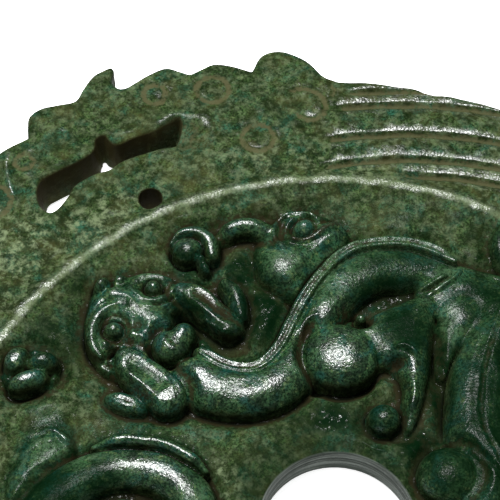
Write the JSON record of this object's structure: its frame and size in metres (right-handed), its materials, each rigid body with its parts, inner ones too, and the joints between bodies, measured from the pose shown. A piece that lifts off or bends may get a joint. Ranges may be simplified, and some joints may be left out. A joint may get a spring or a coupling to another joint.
{
  "type": "jade bi disc",
  "caption": "Round carved jade disc with a centre hole, curling dragons in relief in its field and a pierced border of dragon heads with long flowing manes; it lies flat for display.",
  "frame": {"origin": "middle of the flat underside, on the axis of the centre hole", "axes": "+Z up, out of the carved face and along the hole; +Y towards the crown of one border dragon's head; +X to the right when the carved face is seen with +Y up"},
  "size_m": [0.2086, 0.2254, 0.014],
  "materials": {
    "jade": "polished"
  },
  "bodies": {
    "root": {"carved_disc": "jade"}
  },
  "joints": []
}
